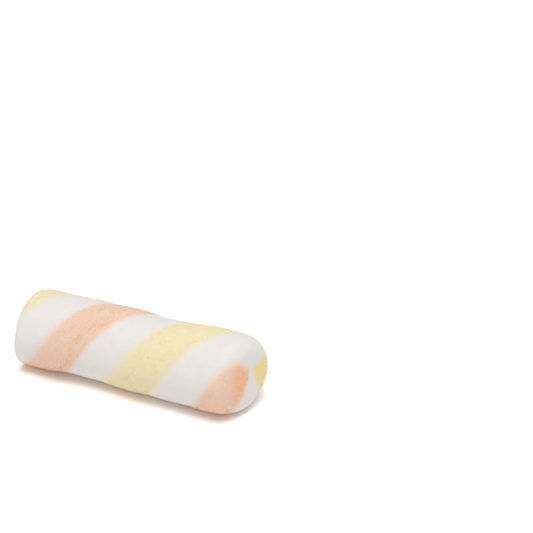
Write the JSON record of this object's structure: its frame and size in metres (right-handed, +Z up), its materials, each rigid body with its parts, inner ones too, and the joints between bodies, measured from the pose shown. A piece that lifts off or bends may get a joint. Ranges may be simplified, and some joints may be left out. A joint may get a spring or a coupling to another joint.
{
  "type": "marshmallow twist",
  "caption": "Cylindrical marshmallow log of twisted coloured and white ropes with sugared stripes, rounded cut ends and a slightly flattened underside; a sweet to eat or decorate with",
  "frame": {"origin": "on the surface it lies on, under the middle of the bounding box", "axes": "+X along the log, +Z up, -Y towards the side shown"},
  "size_m": [0.0784, 0.025, 0.0238],
  "materials": {
    "white_marshmallow": "matte, smooth and slightly translucent",
    "peach_marshmallow": "matte, finely wrinkled and sugared",
    "yellow_marshmallow": "matte, pored and sugared",
    "sugar": "small clear to white crystals"
  },
  "bodies": {
    "root": {"peach_rope": "peach_marshmallow", "white_rope_a": "white_marshmallow", "yellow_rope": "yellow_marshmallow", "white_rope_b": "white_marshmallow"}
  },
  "joints": []
}
